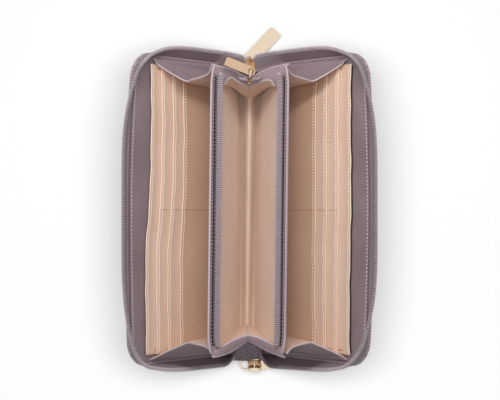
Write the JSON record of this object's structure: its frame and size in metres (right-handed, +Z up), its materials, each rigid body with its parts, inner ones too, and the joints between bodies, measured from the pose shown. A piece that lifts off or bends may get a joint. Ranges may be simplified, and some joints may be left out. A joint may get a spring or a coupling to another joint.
{
  "type": "wallet",
  "caption": "Zip-around long wallet, open and standing on its spine, with stepped card slots, folding gussets, a zipped coin compartment and flat metal pulls",
  "frame": {"origin": "the middle of the spine's underside, on the surface that the wallet stands on", "axes": "+Z up, +Y along the spine toward the coin zip's slider, +X toward the right cover"},
  "size_m": [0.1551, 0.226, 0.0878],
  "materials": {
    "taupe_leather": "fine-grained taupe leather, matt",
    "blush_lining": "blush twill lining with a soft sheen",
    "zip_textile": "woven tape and nylon coil in the leather's colour",
    "pale_gold": "polished pale gold metal"
  },
  "bodies": {
    "spine": {"centre_back_gusset": "taupe_leather", "centre_back_gusset_lining": "blush_lining", "centre_front_gusset": "taupe_leather", "centre_front_gusset_lining": "blush_lining", "spine_lining": "blush_lining", "spine_panel": "taupe_leather"},
    "left_cover": {"left_back_gusset": "taupe_leather", "left_back_gusset_lining": "blush_lining", "left_back_zip_tail": "zip_textile", "left_card_panel_1": "blush_lining", "left_card_panel_2": "blush_lining", "left_card_panel_3": "blush_lining", "left_card_panel_4": "blush_lining", "left_cover": "taupe_leather", "left_facing": "taupe_leather", "left_front_gusset": "taupe_leather", "left_front_gusset_lining": "blush_lining", "left_front_zip_tail": "zip_textile", "left_zip_coil": "zip_textile", "left_zip_tape": "zip_textile"},
    "right_cover": {"right_back_gusset": "taupe_leather", "right_back_gusset_lining": "blush_lining", "right_back_zip_tail": "zip_textile", "right_card_panel_1": "blush_lining", "right_card_panel_2": "blush_lining", "right_card_panel_3": "blush_lining", "right_card_panel_4": "blush_lining", "right_cover": "taupe_leather", "right_facing": "taupe_leather", "right_front_gusset": "taupe_leather", "right_front_gusset_lining": "blush_lining", "right_front_zip_tail": "zip_textile", "right_zip_coil": "zip_textile", "right_zip_tape": "zip_textile"},
    "left_divider": {"left_coin_lining": "blush_lining", "left_coin_zip_coil": "zip_textile", "left_coin_zip_tail": "zip_textile", "left_coin_zip_tape": "zip_textile", "left_divider": "taupe_leather"},
    "right_divider": {"right_coin_lining": "blush_lining", "right_coin_zip_coil": "zip_textile", "right_coin_zip_tail": "zip_textile", "right_coin_zip_tape": "zip_textile", "right_divider": "taupe_leather"},
    "front_slider": {"front_slider": "pale_gold"},
    "front_pull": {"front_pull": "pale_gold"},
    "back_slider": {"back_slider": "pale_gold"},
    "back_pull": {"back_pull": "pale_gold"},
    "coin_slider": {"coin_slider": "pale_gold"},
    "coin_pull": {"coin_pull": "pale_gold"}
  },
  "joints": [
    {"name": "left_cover_fold", "type": "hinge", "parent": "spine", "child": "left_cover", "pos_m": [-0.014, 0, 0.001], "axis": [0, 1, 0], "range_deg": [-4, 26], "deforming": ["left_back_gusset", "left_back_gusset_lining", "left_back_zip_tail", "left_front_gusset", "left_front_gusset_lining", "left_front_zip_tail"]},
    {"name": "left_divider_fold", "type": "hinge", "parent": "spine", "child": "left_divider", "pos_m": [-0.004, 0, 0.0032], "axis": [0, 1, 0], "range_deg": [-1.2, 7.8], "deforming": ["left_coin_zip_tail", "centre_back_gusset", "centre_back_gusset_lining", "centre_front_gusset", "centre_front_gusset_lining"]},
    {"name": "right_cover_fold", "type": "hinge", "parent": "spine", "child": "right_cover", "pos_m": [0.014, 0, 0.001], "axis": [0, -1, 0], "range_deg": [-4, 26], "deforming": ["right_back_gusset", "right_back_gusset_lining", "right_back_zip_tail", "right_front_gusset", "right_front_gusset_lining", "right_front_zip_tail"]},
    {"name": "right_divider_fold", "type": "hinge", "parent": "spine", "child": "right_divider", "pos_m": [0.004, 0, 0.0032], "axis": [0, -1, 0], "range_deg": [-1.2, 7.8], "deforming": ["right_coin_zip_tail"]},
    {"name": "front_slider_run", "type": "slide", "parent": "spine", "child": "front_slider", "axis": [0, 0, 1], "range_m": [0, 0.06]},
    {"name": "front_pull_swing", "type": "hinge", "parent": "front_slider", "child": "front_pull", "pos_m": [-0.0009, 0.0967, 0.0045], "axis": [0, 0, 1], "range_deg": [-6, 88]},
    {"name": "back_slider_run", "type": "slide", "parent": "spine", "child": "back_slider", "axis": [0, 0, 1], "range_m": [0, 0.005]},
    {"name": "back_pull_swing", "type": "hinge", "parent": "back_slider", "child": "back_pull", "pos_m": [-0.0008, -0.1022, 0.00485], "axis": [0, 0, 1], "range_deg": [-120, 0]},
    {"name": "coin_slider_run", "type": "slide", "parent": "spine", "child": "coin_slider", "axis": [0, -1, 0], "range_m": [0, 0.148]},
    {"name": "coin_pull_swing", "type": "hinge", "parent": "coin_slider", "child": "coin_pull", "pos_m": [0.0009, 0.083, 0.0861], "axis": [0, 0, 1], "range_deg": [-150, 25]}
  ],
  "couplings": [
    {"joint": "left_divider_fold", "follows": "left_cover_fold", "ratio": 0.3},
    {"joint": "right_divider_fold", "follows": "right_cover_fold", "ratio": 0.3}
  ]
}
